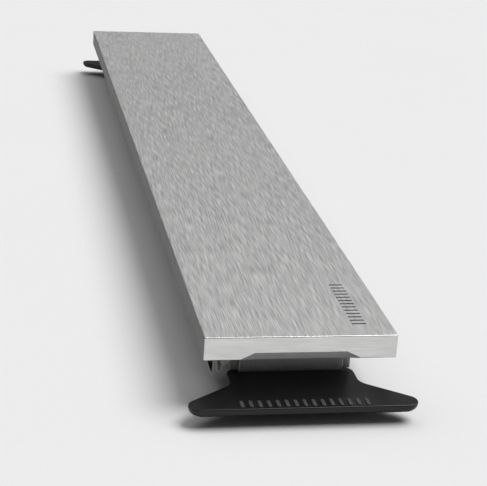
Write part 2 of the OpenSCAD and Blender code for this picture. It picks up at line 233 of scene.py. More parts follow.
def baked(piece):  # the evaluated mesh; the object goes
    depsgraph = bpy.context.evaluated_depsgraph_get()
    mesh = bpy.data.meshes.new_from_object(piece.evaluated_get(depsgraph))
    bpy.data.objects.remove(piece)
    return mesh


def keep(name, mesh, place, node, materials=None, sharp=32.0, stands=True):
    # Puts a finished mesh, made in mm, at its place, on the body and in the slot of the CAD node that it
    # stands for. Without materials it has its slot's finish; with them, its faces keep their own indices.
    mesh.transform(place @ inMetres)
    chosen = [face.material_index for face in mesh.polygons]
    mesh.materials.clear()
    for material in materials or [finishOf[slotOf[node]]]:
        mesh.materials.append(material)
    if materials:
        mesh.polygons.foreach_set("material_index", chosen)
    mesh.shade_smooth()
    mesh.set_sharp_from_angle(angle=math.radians(sharp))
    piece = shown(name, mesh)
    weighting = piece.modifiers.new("flatFaces", "WEIGHTED_NORMAL")
    weighting.keep_sharp = True
    mesh = baked(piece)
    mesh.name = name
    piece = shown(name, mesh)
    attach(piece, bodyOf[node])
    if stands:
        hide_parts(node)
    return piece


def ringAt(radius, z, count):  # radius and z may each be a function of the angle
    points = []
    for i in range(count):
        angle = 2 * math.pi * i / count
        r = radius(angle) if callable(radius) else radius
        h = z(angle) if callable(z) else z
        points.append((r * math.cos(angle), r * math.sin(angle), h))
    return points


def skin(rings, endless=False):  # rings run the same way round; the ends are closed, or joined to each other
    bm = bmesh.new()
    rows = [[bm.verts.new(point) for point in ring] for ring in rings]
    joins = list(zip(rows, rows[1:]))
    if endless:
        joins.append((rows[-1], rows[0]))
    for lower, upper in joins:
        for i in range(len(lower)):
            j = (i + 1) % len(lower)
            bm.faces.new((lower[i], lower[j], upper[j], upper[i]))
    if not endless:
        bm.faces.new(reversed(rows[0]))
        bm.faces.new(rows[-1])
    return bm


def quarter(radius, steps):  # points of a rounded edge: how far in and how far down from the sharp corner
    turns = [math.pi / 2 * i / steps for i in range(steps + 1)]
    return [(radius * (1 - math.sin(a)), radius * (1 - math.cos(a))) for a in turns]


def roundedBox(low, high, radius, steps=3):
    bm = bmesh.new()
    bmesh.ops.create_cube(bm, size=1.0)
    size = [b - a for a, b in zip(low, high)]
    for vert in bm.verts:
        vert.co = Vector([a + (c + 0.5) * s for a, c, s in zip(low, vert.co, size)])
    bmesh.ops.bevel(bm, geom=bm.edges[:], offset=radius, segments=steps, profile=0.5, affect="EDGES")
    return bm


def wedge(points, width):  # an outline in Y and Z, drawn out across X
    bm = bmesh.new()
    faces = [[bm.verts.new((x, y, z)) for y, z in points] for x in (-width / 2, width / 2)]
    bm.faces.new(faces[0][::-1])
    bm.faces.new(faces[1])
    for i in range(len(points)):
        j = (i + 1) % len(points)
        bm.faces.new((faces[0][i], faces[0][j], faces[1][j], faces[1][i]))
    bmesh.ops.recalc_face_normals(bm, faces=bm.faces[:])
    return bm


def combined(base, tools, operation):  # an exact boolean of meshes in mm
    body = shown("body", base)
    helpers = [shown("tool", tool) for tool in tools]
    for helper in helpers:
        modifier = body.modifiers.new("cut", "BOOLEAN")
        modifier.operation = operation
        modifier.solver = "EXACT"
        modifier.object = helper
    mesh = baked(body)
    for helper in helpers:
        bpy.data.objects.remove(helper)
    return mesh


# Node trees make what repeats or follows a path

def newTree(name, sockets):
    tree = bpy.data.node_groups.new(name, "GeometryNodeTree")
    tree.interface.new_socket("Geometry", in_out="INPUT", socket_type="NodeSocketGeometry")
    for label, kind in sockets:
        tree.interface.new_socket(label, in_out="INPUT", socket_type="NodeSocket" + kind)
    tree.interface.new_socket("Geometry", in_out="OUTPUT", socket_type="NodeSocketGeometry")
    return tree, addNode(tree, "NodeGroupInput").outputs, addNode(tree, "NodeGroupOutput")


def endTree(tree, geometry, material, output):
    real = addNode(tree, "GeometryNodeRealizeInstances", links={"Geometry": geometry})
    dressed = addNode(tree, "GeometryNodeSetMaterial", links={
        "Geometry": real.outputs[0], "Material": material})
    tree.links.new(dressed.outputs[0], output.inputs[0])


def grown(source, tree, values):  # runs a tree on a mesh and returns the plain mesh
    piece = shown("grown", source)
    modifier = piece.modifiers.new("nodes", "NODES")
    modifier.node_group = tree
    for item in tree.interface.items_tree:
        if item.item_type == "SOCKET" and item.in_out == "INPUT" and item.name in values:
            modifier[item.identifier] = values[item.name]
    return baked(piece)


def rowTree():  # one piece again and again along a line, each given its own turn about its axis
    tree, given, output = newTree("pieceRow", [
        ("Piece", "Object"), ("Count", "Int"), ("Start", "Vector"), ("Step", "Vector"), ("Turn", "Float"),
        ("Seed", "Int"), ("Finish", "Material")])
    line = addNode(tree, "GeometryNodeMeshLine", {"mode": "OFFSET"}, {
        "Count": given["Count"], "Start Location": given["Start"], "Offset": given["Step"]})
    turn = addNode(tree, "FunctionNodeRandomValue", {"data_type": "FLOAT"}, {
        3: given["Turn"], "Seed": given["Seed"]})
    axis = addNode(tree, "ShaderNodeCombineXYZ", links={"Z": turn.outputs[1]})
    shape = addNode(tree, "GeometryNodeObjectInfo", links={"Object": given["Piece"]})
    placed = addNode(tree, "GeometryNodeInstanceOnPoints", links={
        "Points": line.outputs[0], "Instance": shape.outputs["Geometry"], "Rotation": axis.outputs[0]})
    endTree(tree, placed.outputs[0], given["Finish"], output)
    return tree


threadSpec = {"flatCrest": 0.12, "flankSlope": 1.35, "tolerance": 0.01}


def threadTree(spec):  # cuts a helical groove into the finely ringed part of a turned piece, its axis on Z
    tree, given, output = newTree("threadCut", [
        ("Radius", "Float"), ("Depth", "Float"), ("Pitch", "Float"), ("Start", "Float"), ("End", "Float"),
        ("Finish", "Material")])

    def maths(operation, *values):
        node = addNode(tree, "ShaderNodeMath", {"operation": operation})
        for i, value in enumerate(values):
            if isinstance(value, (int, float)):
                node.inputs[i].default_value = value
            else:
                tree.links.new(value, node.inputs[i])
        return node.outputs[0]

    where = addNode(tree, "ShaderNodeSeparateXYZ", links={
        0: addNode(tree, "GeometryNodeInputPosition").outputs[0]}).outputs
    turn = maths("DIVIDE", maths("ARCTAN2", where["Y"], where["X"]), 2 * math.pi)
    phase = maths("FRACT", maths("SUBTRACT", maths("DIVIDE", where["Z"], given["Pitch"]), turn))
    flank = maths("SUBTRACT", 1.0, maths("ABSOLUTE", maths("SUBTRACT", maths("MULTIPLY", phase, 2.0), 1.0)))
    sunk = maths("MULTIPLY", maths("SUBTRACT", flank, spec["flatCrest"]), spec["flankSlope"])
    groove = addNode(tree, "ShaderNodeClamp", links={"Value": sunk})
    nearEnd = maths("MINIMUM", maths("SUBTRACT", where["Z"], given["Start"]),
                    maths("SUBTRACT", given["End"], where["Z"]))
    fade = addNode(tree, "ShaderNodeClamp", links={"Value": maths("DIVIDE", nearEnd, given["Pitch"])})
    depth = maths("MULTIPLY", maths("MULTIPLY", groove.outputs[0], fade.outputs[0]), given["Depth"])
    radius = maths("SQRT", maths("ADD", maths("POWER", where["X"], 2.0), maths("POWER", where["Y"], 2.0)))
    onThread = maths("COMPARE", radius, given["Radius"], spec["tolerance"])
    shrink = maths("SUBTRACT", 1.0, maths("DIVIDE", maths("MULTIPLY", depth, onThread), given["Radius"]))
    moved = addNode(tree, "ShaderNodeCombineXYZ", links={
        "X": maths("MULTIPLY", where["X"], shrink), "Y": maths("MULTIPLY", where["Y"], shrink),
        "Z": where["Z"]})
    cut = addNode(tree, "GeometryNodeSetPosition", links={
        "Geometry": given["Geometry"], "Position": moved.outputs[0]})
    endTree(tree, cut.outputs[0], given["Finish"], output)
    return tree


def stripTree():  # a flat strip along a chain of edges, with its bends rounded
    tree, given, output = newTree("bentStrip", [
        ("Bend Radius", "Float"), ("Thickness", "Float"), ("Width", "Float"), ("Finish", "Material")])
    line = addNode(tree, "GeometryNodeMeshToCurve", links={0: given["Geometry"]})
    bends = addNode(tree, "GeometryNodeFilletCurve", {"mode": "POLY", "Count": 5, "Limit Radius": True},
                    {"Curve": line.outputs[0], "Radius": given["Bend Radius"]})
    section = addNode(tree, "GeometryNodeCurvePrimitiveQuadrilateral", {"mode": "RECTANGLE"},
                      {"Width": given["Thickness"], "Height": given["Width"]})
    strip = addNode(tree, "GeometryNodeCurveToMesh", {"Fill Caps": True},
                    {"Curve": bends.outputs[0], "Profile Curve": section.outputs[0]})
    endTree(tree, strip.outputs[0], given["Finish"], output)
    return tree


pieceRow = rowTree()
threadCut = threadTree(threadSpec)
bentStrip = stripTree()


def rowOf(mesh, count, start, step, material, turn=0.0, seed=1):
    model = shown("model", mesh)
    empty = bpy.data.meshes.new("empty")
    row = grown(empty, pieceRow, {"Piece": model, "Count": count, "Start": start, "Step": step, "Turn": turn,
                                  "Seed": seed, "Finish": material})
    bpy.data.objects.remove(model)
    return row


panelSpec = {"edgeRadius": 0.25, "edgeSteps": 8, "easeWidth": 32.0, "easeFade": 4.0,
             "easeHeight": 2.0, "easeDepth": 0.6, "tickCount": 13, "tickLength": 3.8, "tickWidth": 0.7,
             "tickPitch": 2.2, "tickDepth": 0.06, "tickFromSide": 6.6, "tickFromEnd": 7.2, "sharp": 12}


def coverPanel(spec):
    # The top is a grid, so that the ticks near one corner can be sunk into it
    size = sizeOf("top_panel")
    halfX, halfY, height = size.x / 2, size.y / 2, size.z
    right = halfX - spec["tickFromSide"]
    columns = [-halfX, right - spec["tickLength"], right, halfX]
    first = -halfY + spec["tickFromEnd"]
    rows = [-halfY]
    for i in range(spec["tickCount"]):
        rows += [first + i * spec["tickPitch"], first + i * spec["tickPitch"] + spec["tickWidth"]]
    rows.append(halfY)
    bm = bmesh.new()
    top = [[bm.verts.new((x, y, height)) for x in columns] for y in rows]
    ticks = []
    for j in range(len(rows) - 1):
        for i in range(len(columns) - 1):
            face = bm.faces.new((top[j][i], top[j][i + 1], top[j + 1][i + 1], top[j + 1][i]))
            if i == 1 and j % 2 == 1:
                ticks.append(face)
    corners = [bm.verts.new((x, y, 0)) for x, y in
               ((-halfX, -halfY), (halfX, -halfY), (halfX, halfY), (-halfX, halfY))]
    rims = [top[0], [row[-1] for row in top], top[-1][::-1], [row[0] for row in top][::-1]]
    for i, rim in enumerate(rims):
        bm.faces.new([corners[i], corners[(i + 1) % 4]] + rim[::-1])
    bm.faces.new(corners[::-1])
    bm.normal_update()
    outer = [edge for edge in bm.edges if edge.calc_face_angle(0) > 1]
    bmesh.ops.bevel(bm, geom=outer, offset=spec["edgeRadius"], segments=spec["edgeSteps"], profile=0.5,
                    affect="EDGES")
    sunk = bmesh.ops.extrude_discrete_faces(bm, faces=ticks)["faces"]
    for face in sunk:
        for vert in face.verts:
            vert.co.z -= spec["tickDepth"]
    # A slant eases the lower edge of each end where the foot's neck runs under it, and fades out at both
    # sides. Its cutter reaches a little past the end and the underside.
    slant, deep, over = spec["easeHeight"], spec["easeDepth"], 1.0
    points = [(halfY, slant), (halfY - deep * (1 + over / slant), -over), (halfY + over, -over),
              (halfY + over, slant)]
    half, fade = spec["easeWidth"] / 2, spec["easeFade"]
    slants = []
    for sign in (-1, 1):
        cutter = skin([[(x, sign * (y + shift), z) for y, z in points]
                       for x, shift in ((-half, deep), (fade - half, 0), (half - fade, 0), (half, deep))])
        bmesh.ops.recalc_face_normals(cutter, faces=cutter.faces[:])
        slants.append(meshOf(cutter))
    mesh = combined(meshOf(bm), slants, "DIFFERENCE")
    for face in mesh.polygons:
        face.material_index = list(panelFinishes).index(panelFace(face, spec, height))
    return mesh


panelFinishes = {"top": brushedStainless, "end": linishedEndPaintedLight, "tick": markedStainless,
                 "side": shadedSideStainless, "slant": milledStainless}


# Chosen by the way each face points: the sides get the finish painted darker as shade, and the ends the one
# painted lighter as light.
def panelFace(face, spec, height):  # which finish a face has, from the way it looks and where it lies
    if abs(face.normal.y) > 0.6:
        return "end" if face.normal.z > -0.1 else "slant"
    if face.normal.z > 0.9 and spec["easeHeight"] < face.center.z < height - spec["tickDepth"] / 2:
        return "tick"
    return "side" if abs(face.normal.x) > 0.9 else "top"


panelLow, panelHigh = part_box("top_panel")
keep("coverPanel", coverPanel(panelSpec), Matrix.Translation(middleOf("top_panel", panelLow.z / mm)),
     "top_panel", list(panelFinishes.values()), sharp=panelSpec["sharp"])

rail = frame["nodes"]["rail"]
rail.data.materials.clear()
rail.data.materials.append(coldRolledStainless)
print("panel and rail done")


# Feet

footSpec = {"plateThickness": 2.4, "tipRadius": 3.0, "wingAngle": 37.5, "wingFillet": 4.0, "neckMargin": 1.0,
            "neckCorner": 3.0, "neckLength": 23.3, "topEdge": 0.3, "bottomEdge": 0.8, "tipRounding": 1.9,
            "tipStart": 5.5, "tipStop": 1.0, "saddleStart": 9.4, "saddleRise": 0.5, "saddleRoot": 0.6,
            "saddleToe": 0.02, "soleEdge": 0.3, "soleGap": 0.01, "sharp": 35}
sliderSpec = {"edge": 0.2, "recessStart": 33.4, "recessLength": 21.0, "recessWidth": 11.0, "cutEdge": 0.3,
              "cutBelow": 2.0, "pocketWall": 1.4, "floor": 2.9, "slotWidth": 5.4, "slotTravel": 10.0,
              "hexRecess": 9.08, "insertHole": 6.5, "rivetHole": 2.42}
ribSpec = {"count": 15, "pitch": 2.3, "width": 1.0, "length": 3.4, "height": 0.3, "corner": 0.3,
           "edge": 0.15, "root": 0.1, "inset": 0.8}
soleRivetSpec = {"shank": 2.4, "head": 3.8, "dome": 0.6, "sides": 40}


def arc(x, y, radius, start, stop, steps):  # angles in degrees
    turns = [math.radians(start + (stop - start) * i / steps) for i in range(steps + 1)]
    return [(x + radius * math.cos(a), y + radius * math.sin(a)) for a in turns]


def plateOutline(spec, width, neckWidth):
    # The right half from the outer edge round the wing and the neck, then the same mirrored
    lean = 90 - spec["wingAngle"]
    across, along = math.cos(math.radians(lean)), math.sin(math.radians(lean))
    tipX, tipY = width / 2 - spec["tipRadius"], spec["tipRadius"]
    edgeX, edgeY = tipX + spec["tipRadius"] * across, tipY + spec["tipRadius"] * along
    side, fillet, corner = neckWidth / 2, spec["wingFillet"], spec["neckCorner"]
    filletX = side + fillet
    filletY = edgeY + (fillet - (filletX - edgeX) * across) / along
    half = arc(tipX, tipY, spec["tipRadius"], -90, lean, 20)
    half += arc(filletX, filletY, fillet, 180 + lean, 180, 12)
    half += arc(side - corner, spec["neckLength"] - corner, corner, 0, 90, 12)
    return half + [(-x, y) for x, y in reversed(half)]


def insetOutline(points, distance):  # by one distance, or by one for each point; sharp corners are held back
    inset = []
    distances = distance if isinstance(distance, list) else [distance] * len(points)
    for i, point in enumerate(points):
        before, after = Vector(points[i - 1]), Vector(points[(i + 1) % len(points)])
        here = Vector(point)
        first, second = (here - before).normalized(), (after - here).normalized()
        normal = Vector((-first.y - second.y, first.x + second.x)).normalized()
        inset.append(here + normal * distances[i] / max(normal.dot(Vector((-first.y, first.x))), 0.5))
    return inset


def footPlate(spec, width, neckWidth, bottom):
    # The lower edge is rounded, and more so at the wing tips
    outline = plateOutline(spec, width, neckWidth)
    top = bottom + spec["plateThickness"]
    start, stop = width / 2 - spec["tipStart"], width / 2 - spec["tipStop"]
    rounding = []
    for x, y in outline:
        share = min(max((abs(x) - start) / (stop - start), 0), 1)
        share = share * share * (3 - 2 * share)
        rounding.append(spec["bottomEdge"] + (spec["tipRounding"] - spec["bottomEdge"]) * share)
    rings = []
    for inward, down in quarter(1.0, 6):
        ring = insetOutline(outline, [inward * r for r in rounding])
        rings.append([(p.x, p.y, bottom + down * r) for p, r in zip(ring, rounding)])
    for inward, down in reversed(quarter(spec["topEdge"], 4)):
        rings.append([(p.x, p.y, top - down) for p in insetOutline(outline, inward)])
    return meshOf(skin(rings))


def cylinder(x, y, low, high, radius, count=48):
    bm = skin([ringAt(radius, z, count) for z in (low, high)])
    bmesh.ops.translate(bm, verts=bm.verts[:], vec=(x, y, 0))
    return meshOf(bm)


def outerEdge(end):  # the foot's edge furthest from the panel, in m
    low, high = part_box(end + "_foot")
    return low.y if end == "front" else high.y


def fromEdge(end, node):  # where a node starts and stops, in mm from the foot's outer edge
    return sorted(abs(corner.y - outerEdge(end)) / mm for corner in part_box(node))


def underCuts(spec, end):
    # What is cut out of the slider and of the sole under it: the clamp's recess and slot, cored pockets, and
    # the holes for inserts and rivets
    bottom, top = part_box(end + "_foot")[0].z / mm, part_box(end + "_slider")[1].z / mm
    below, edge = bottom - spec["cutBelow"], spec["cutEdge"]
    half, wide, wall = sizeOf(end + "_slider").x / 2, spec["recessWidth"] / 2, spec["pocketWall"]
    start, stop = spec["recessStart"], spec["recessStart"] + spec["recessLength"]
    cuts = [meshOf(roundedBox((-wide, start, below), (wide, stop, top - spec["floor"]), edge))]
    cuts += [meshOf(roundedBox((a, start, below), (b, stop, top - wall), edge))
             for a, b in ((wall - half, -wide - wall), (wide + wall, half - wall))]
    cuts.append(slotCutter(start + wide, spec["slotTravel"], spec["slotWidth"] / 2, bottom, top))
    insertLow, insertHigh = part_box(end + "_left_insert")
    x, y = abs(middleOf(end + "_left_insert").x) / mm, sum(fromEdge(end, end + "_left_insert")) / 2
    for side in (-x, x):
        cuts += [cylinder(side, y, below, insertLow.z / mm, spec["hexRecess"] / 2),
                 cylinder(side, y, below, insertHigh.z / mm, spec["insertHole"] / 2)]
    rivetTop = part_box(end + "_sole_rivets")[1].z / mm
    cuts += [cylinder(x, y, below, rivetTop, spec["rivetHole"] / 2) for x, y in rivetPlaces(end)]
    return cuts


def rivetPlaces(end):  # one between the glides and two in the slider's end wall
    first, last = fromEdge(end, end + "_sole_rivets")
    head = soleRivetSpec["head"] / 2
    quarterWidth = sizeOf(end + "_slider").x / 4
    return [(0, first + head), (-quarterWidth, last - head), (quarterWidth, last - head)]


def foot(spec, end):
    low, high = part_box(end + "_foot")
    size = (high - low) / mm
    bottom = low.z / mm
    start, stop = fromEdge(end, end + "_slider")
    half = sizeOf(end + "_slider").x / 2
    plate = footPlate(spec, size.x, sizeOf("rail").x + 2 * spec["neckMargin"], bottom)
    plateTop = bottom + spec["plateThickness"]
    root, toe, gap = plateTop - spec["saddleRoot"], plateTop - spec["saddleToe"], spec["soleGap"]
    saddle = meshOf(wedge([(spec["saddleStart"], root), (start, root),
                           (start, plateTop + spec["saddleRise"]), (spec["saddleStart"], toe)], 2 * half))
    sole = meshOf(roundedBox((-half, start, bottom + gap), (half, stop, plateTop - gap), spec["soleEdge"]))
    return combined(combined(plate, [sole, saddle], "UNION"), underCuts(sliderSpec, end), "DIFFERENCE")


def slider(spec, end):
    low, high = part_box(end + "_slider")
    start, stop = fromEdge(end, end + "_slider")
    half = (high.x - low.x) / mm / 2
    block = roundedBox((-half, start, low.z / mm), (half, stop, high.z / mm), spec["edge"])
    return combined(meshOf(block), underCuts(spec, end), "DIFFERENCE")


def slotCutter(start, travel, radius, low, high):
    outline = arc(0, start, radius, 180, 360, 16) + arc(0, start + travel, radius, 0, 180, 16)
    return meshOf(skin([[(x, y, z) for x, y in outline] for z in (low, high + 1)]))


def rivet(spec, length):  # a domed head and its shank, upwards along Z from the head
    head, dome, steps = spec["head"] / 2, spec["dome"], 5
    rings = []
    for step in range(1, steps + 1):
        slant = math.pi / 2 * step / steps
        rings.append((head * math.sin(slant), dome * (1 - math.cos(slant))))
    rings += [(spec["shank"] / 2, dome + 0.01), (spec["shank"] / 2, length)]
    return skin([ringAt(r, z, spec["sides"]) for r, z in rings])


def scattered(shapes, places):  # a few shapes, each moved to its own place, as one mesh
    whole = bmesh.new()
    for shape, (x, y) in zip(shapes, places):
        bmesh.ops.translate(shape, verts=shape.verts[:], vec=(x, y, 0))
        whole.from_mesh(meshOf(shape))
    return meshOf(whole)


def footPlace(end):  # foot pieces are made with the outer edge on Y 0, looking outwards along -Y
    low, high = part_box(end + "_foot")
    if end == "front":
        return Matrix.Translation((0, low.y, 0))
    return Matrix.Translation((0, high.y, 0)) @ halfTurn


def rib(spec):
    r = spec["corner"]
    outline = arc(spec["width"] / 2 - r, r, r, -90, 0, 4)
    outline += arc(spec["width"] / 2 - r, spec["length"] - r, r, 0, 90, 4)
    outline += [(-x, y) for x, y in reversed(outline)]
    levels = [(0, -spec["root"])]
    levels += [(inset, spec["height"] - down) for inset, down in reversed(quarter(spec["edge"], 3))]
    return meshOf(skin([[(p.x, p.y, z) for p in insetOutline(outline, inset)] for inset, z in levels]))


for end in ends:
    place = footPlace(end)
    keep(visualName(end, "foot"), foot(footSpec, end), place, end + "_foot", sharp=footSpec["sharp"])
    keep(visualName(end, "slider"), slider(sliderSpec, end), place, end + "_slider", sharp=footSpec["sharp"])
    rivets = [rivet(soleRivetSpec, sizeOf(end + "_sole_rivets").z) for _ in rivetPlaces(end)]
    keep(visualName(end, "sole_rivets"), scattered(rivets, rivetPlaces(end)),
         Matrix.Translation((0, 0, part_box(end + "_sole_rivets")[0].z)) @ place, end + "_sole_rivets")
    width = ribSpec["pitch"] * (ribSpec["count"] - 1)
    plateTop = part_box(end + "_foot")[0].z / mm + footSpec["plateThickness"]
    ribs = rowOf(rib(ribSpec), ribSpec["count"], (-width / 2, ribSpec["inset"], plateTop),
                 (ribSpec["pitch"], 0, 0), paleRibNylon)
    keep(visualName(end, "foot_ribs"), ribs, place, end + "_foot", [paleRibNylon], stands=False)
print("feet done")


# Fixings

studSpec = {"threadDepth": 0.42, "railPitch": 0.7, "clampPitch": 0.8, "chamfer": 0.35, "turnSides": 36,
            "ringsPerPitch": 7}
nutSpec = {"chamferAngle": 28, "faceInset": 0.05, "sides": 48, "boreChamfer": 0.4}
washerSpec = {"edge": 0.12, "sides": 56, "clearance": 0.2}


def fineRings(radius, low, high, pitch, sides):  # rings close enough together for the thread cutter
    count = round((high - low) / pitch * studSpec["ringsPerPitch"])
    return [ringAt(radius, low + (high - low) * i / count, sides) for i in range(count + 1)]


def threaded(mesh, radius, low, high, pitch):
    return grown(mesh, threadCut, {
        "Radius": radius, "Depth": studSpec["threadDepth"], "Pitch": pitch, "Start": low, "End": high,
        "Finish": turnedStainless})


def stud(node, diameter, pitch, spec):  # chamfered at the low end, plain at the top where it is welded
    height, radius, c, sides = sizeOf(node).z, diameter / 2, spec["chamfer"], spec["turnSides"]
    rings = [ringAt(radius - c, 0, sides)] + fineRings(radius, c, height, pitch, sides)
    return threaded(meshOf(skin(rings)), radius, c / 2, height - 2 * pitch, pitch)


def hexRadius(flats):  # the radius of a hexagon at any angle
    return lambda angle: flats / 2 / math.cos((angle + math.pi / 6) % (math.pi / 3) - math.pi / 6)


def hexRings(flats, low, high, spec):
    # The corners are turned off at a slant, so each flat ends in a curve
    radius = hexRadius(flats)
    slope = math.tan(math.radians(spec["chamferAngle"]))
    faceRadius = flats / 2 - spec["faceInset"]

    def drop(angle):
        return max(radius(angle) - faceRadius, 0) * slope

    return [ringAt(faceRadius, low, spec["sides"]), ringAt(radius, lambda a: low + drop(a), spec["sides"]),
            ringAt(radius, lambda a: high - drop(a), spec["sides"]), ringAt(faceRadius, high, spec["sides"])]


def nut(flats, bore, height, spec):
    rings = hexRings(flats, 0, height, spec)
    wide, c = bore / 2 + spec["boreChamfer"], spec["boreChamfer"]
    rings += [ringAt(r, z, spec["sides"]) for r, z in
              ((wide, height), (bore / 2, height - c), (bore / 2, c), (wide, 0))]
    return meshOf(skin(rings, endless=True))


def washer(diameter, bore, thickness, spec):
    outer, inner, e = diameter / 2, bore / 2 + spec["clearance"], spec["edge"]
    return meshOf(skin([ringAt(r, z, spec["sides"]) for r, z in (
        (outer - e, 0), (outer, e), (outer, thickness - e), (outer - e, thickness),
        (inner + e, thickness), (inner, thickness - e), (inner, e), (inner + e, 0))], endless=True))


railStudD, clampStudD = sizeOf("rail_studs").x, sizeOf("front_clamp_stud").x
studLow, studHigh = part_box("rail_studs")
railRowCount = 3
railRowStep = ((studHigh.y - studLow.y) / mm - railStudD) / (railRowCount - 1)


def railRow(name, node, mesh, turn=0.0, seed=1):
    low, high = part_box(node)
    row = rowOf(mesh, railRowCount, (0, -railRowStep * (railRowCount - 1) / 2, 0), (0, railRowStep, 0),
                turnedStainless, turn, seed)
    keep(name, row, Matrix.Translation((0, (low.y + high.y) / 2, low.z)), node)


railRow("railStuds", "rail_studs", stud("rail_studs", railStudD, studSpec["railPitch"], studSpec))
railRow("railWashers", "rail_washers", washer(sizeOf("rail_washers").x, railStudD, sizeOf("rail_washers").z,
                                              washerSpec), math.pi, 4)
railFlats = sizeOf("rail_nuts").x * math.cos(math.pi / 6)
railRow("railNuts", "rail_nuts", nut(railFlats, railStudD, sizeOf("rail_nuts").z, nutSpec), math.pi / 3, 7)

for end in ends:
    for part in ("stud", "washer", "nut"):
        node = end + "_clamp_" + part
        size = sizeOf(node)
        if part == "stud":
            mesh = stud(node, clampStudD, studSpec["clampPitch"], studSpec)
        elif part == "washer":
            mesh = washer(size.x, clampStudD, size.z, washerSpec)
        else:
            mesh = nut(size.y, clampStudD, size.z, nutSpec)
        keep(visualName(node), mesh, Matrix.Translation(middleOf(node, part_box(node)[0].z / mm)), node)
print("studs, washers and nuts done")

# Levelling glides

screwSpec = {"thread": 5.0, "pitch": 0.8, "pin": 3.8, "pinEdge": 0.2, "hexGap": 0.2, "hexHeight": 1.8,
             "flats": 7.0, "sides": 48}
insertSpec = {"wall": 0.7, "edge": 0.2, "knurls": 30, "knurlDepth": 0.16, "collarInset": 0.02,
              "grooveDepth": 0.3, "sides": 120}
glideSpec = {"flutes": 24, "fluteDepth": 0.16, "fluteStart": 0.35, "footEdge": 0.3, "rim": 0.4,
             "pinDepth": 1.3, "pinGap": 0.05, "pocketEdge": 0.2, "sides": 144}
rubberSpec = {"edge": 0.2, "grooves": (2.0, 3.6), "grooveWidth": 0.5, "grooveDepth": 0.25,
              "grooveFlank": 0.05, "sides": 72}


def levelScrew(spec, height, hexLow):
    # One skin from the pin up: pin, hexagon, thread
    pin, thread, e, c = spec["pin"] / 2, spec["thread"] / 2, spec["pinEdge"], studSpec["chamfer"]
    hexTop, sides = hexLow + spec["hexHeight"], spec["sides"]
    rings = [ringAt(pin - e, 0, sides), ringAt(pin, e, sides), ringAt(pin, hexLow, sides)]
    rings += hexRings(spec["flats"], hexLow, hexTop, {**nutSpec, "sides": sides})
    rings += fineRings(thread, hexTop, height - c, spec["pitch"], sides)
    rings.append(ringAt(thread - c, height, sides))
    return threaded(meshOf(skin(rings)), thread, hexTop, height - c / 2, spec["pitch"])


def insert(spec, diameter, height):
    bore, e = diameter / 2 - spec["wall"], spec["edge"]

    def knurl(angle):
        return diameter / 2 - spec["knurlDepth"] * (0.5 - 0.5 * math.cos(spec["knurls"] * angle))

    outer, groove, third = diameter / 2 - spec["collarInset"], diameter / 2 - spec["grooveDepth"], height / 3
    rings = [(bore + e, 0), (outer - e, 0), (outer, e), (knurl, 2 * e), (knurl, third), (groove, third + e),
             (groove, 2 * third - e), (knurl, 2 * third), (knurl, height - 2 * e), (outer, height - e),
             (outer - e, height), (bore + e, height), (bore, height - e), (bore, e)]
    return meshOf(skin([ringAt(r, z, spec["sides"]) for r, z in rings], endless=True))


def glide(spec, diameter, height):
    outer = diameter / 2

    def flute(angle):
        return outer - spec["fluteDepth"] * max(math.cos(spec["flutes"] * angle), 0)

    pocket, e = screwSpec["pin"] / 2 + spec["pinGap"], spec["pocketEdge"]
    rings = [(outer - spec["footEdge"], 0), (outer, spec["footEdge"] / 2), (flute, spec["fluteStart"]),
             (flute, height - spec["rim"]), (outer - spec["rim"], height), (pocket + e, height),
             (pocket, height - e), (pocket, height - spec["pinDepth"])]
    return meshOf(skin([ringAt(r, z, spec["sides"]) for r, z in rings]))


def rubber(spec, diameter, height):
    # Two shallow round grooves in the face that stands on the floor
    outer, e, deep = diameter / 2, spec["edge"], spec["grooveDepth"]
    rings, flank = [], spec["grooveFlank"]
    for radius in spec["grooves"]:
        near, far = radius - spec["grooveWidth"] / 2, radius + spec["grooveWidth"] / 2
        rings += [(near, 0), (near + flank, deep), (far - flank, deep), (far, 0)]
    rings += [(outer - e, 0), (outer, e), (outer, height)]
    return meshOf(skin([ringAt(r, z, spec["sides"]) for r, z in rings]))


for end in ends:
    for side in sides:
        name = end + "_" + side
        hexLow = (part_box(name + "_glide")[1].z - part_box(name + "_screw")[0].z) / mm + screwSpec["hexGap"]
        made = {"screw": levelScrew(screwSpec, sizeOf(name + "_screw").z, hexLow),
                "insert": insert(insertSpec, sizeOf(name + "_insert").x, sizeOf(name + "_insert").z),
                "glide": glide(glideSpec, sizeOf(name + "_glide").x, sizeOf(name + "_glide").z),
                "rubber": rubber(rubberSpec, sizeOf(name + "_rubber").x, sizeOf(name + "_rubber").z)}
        for part, mesh in made.items():
            node = name + "_" + part
            keep(visualName(node), mesh, Matrix.Translation(middleOf(node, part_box(node)[0].z / mm)), node)
print("levelling glides done")

# Side springs

springSpec = {"thickness": 0.5, "bend": 0.55, "railWall": 2.0, "leafDrop": 0.4, "leafRise": 1.1,
              "shoulder": 0.5, "neckGap": 0.6, "neckRise": 0.2, "heelRise": 0.9, "heelLow": 0.4,
              "heelWidth": 1.1, "crestOut": 1.7, "crestRise": 2.9, "crestFlat": 0.3, "troughOut": 2.3,
              "troughFlat": 0.4, "lipDrop": 2.6, "lipHeight": 1.4, "lipHook": 0.7, "lipTip": 1.0}
rivetSpec = {"shank": 2.4, "head": 3.8, "dome": 0.5, "sides": 40}


